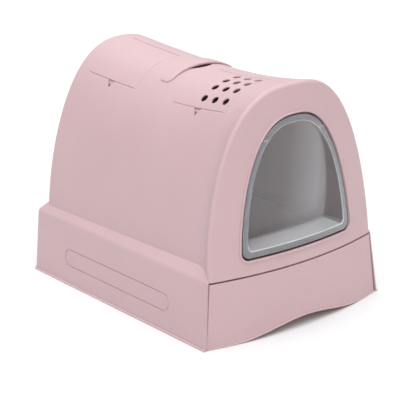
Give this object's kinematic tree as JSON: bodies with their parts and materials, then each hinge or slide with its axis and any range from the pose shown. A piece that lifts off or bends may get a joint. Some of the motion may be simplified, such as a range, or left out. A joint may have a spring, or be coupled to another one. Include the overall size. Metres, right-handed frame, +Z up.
{
  "type": "cat litter box with hood",
  "caption": "Hooded cat litter box: vaulted hood over a pull-out drawer tray, see-through swing door, roof hatches for a filter and a scoop, and a grab strap",
  "frame": {"origin": "middle of the footprint, on the surface that the box stands on", "axes": "+Z up, the door and the drawer look along -Y, +X to the right seen from in front"},
  "size_m": [0.4, 0.56, 0.4302],
  "materials": {
    "shell_plastic": "dusty pink moulded plastic with a fine satin surface",
    "inner_plastic": "the same pink plastic, a little duller inside",
    "smoke_plastic": "smoky grey transparent plastic, polished",
    "pin_plastic": "satin pink plastic",
    "carbon_foam": "black activated-carbon foam"
  },
  "bodies": {
    "shell": {"hood": "shell_plastic", "handle_strap": "shell_plastic", "base_pan": "inner_plastic", "door_pin_left": "pin_plastic", "door_pin_right": "pin_plastic", "filter_hatch_pin_front": "pin_plastic", "filter_hatch_pin_rear": "pin_plastic", "storage_hatch_pin_front": "pin_plastic", "storage_hatch_pin_rear": "pin_plastic", "filter_basket": "inner_plastic", "filter_pad": "carbon_foam", "filter_grille": "inner_plastic", "storage_bin": "inner_plastic", "litter_scoop": "shell_plastic"},
    "drawer": {"litter_tray": "inner_plastic", "drawer_front": "shell_plastic"},
    "door": {"door_flap": "smoke_plastic"},
    "filter_lid": {"filter_hatch": "shell_plastic"},
    "storage_lid": {"storage_hatch": "shell_plastic"}
  },
  "joints": [
    {"name": "door_swing", "type": "hinge", "parent": "shell", "child": "door", "pos_m": [0, -0.25549, 0.338], "axis": [1, 0, 0], "range_deg": [-55, 75]},
    {"name": "drawer_slide", "type": "slide", "parent": "shell", "child": "drawer", "axis": [0, -1, 0], "range_m": [0, 0.4]},
    {"name": "filter_hatch_hinge", "type": "hinge", "parent": "shell", "child": "filter_lid", "pos_m": [0.006, -0.1225, 0.41142], "axis": [0, 0.9989, -0.0476], "range_deg": [0, 100]},
    {"name": "storage_hatch_hinge", "type": "hinge", "parent": "shell", "child": "storage_lid", "pos_m": [0.006, 0.1315, 0.4188], "axis": [0, 0.9969, 0.079], "range_deg": [0, 100]}
  ]
}
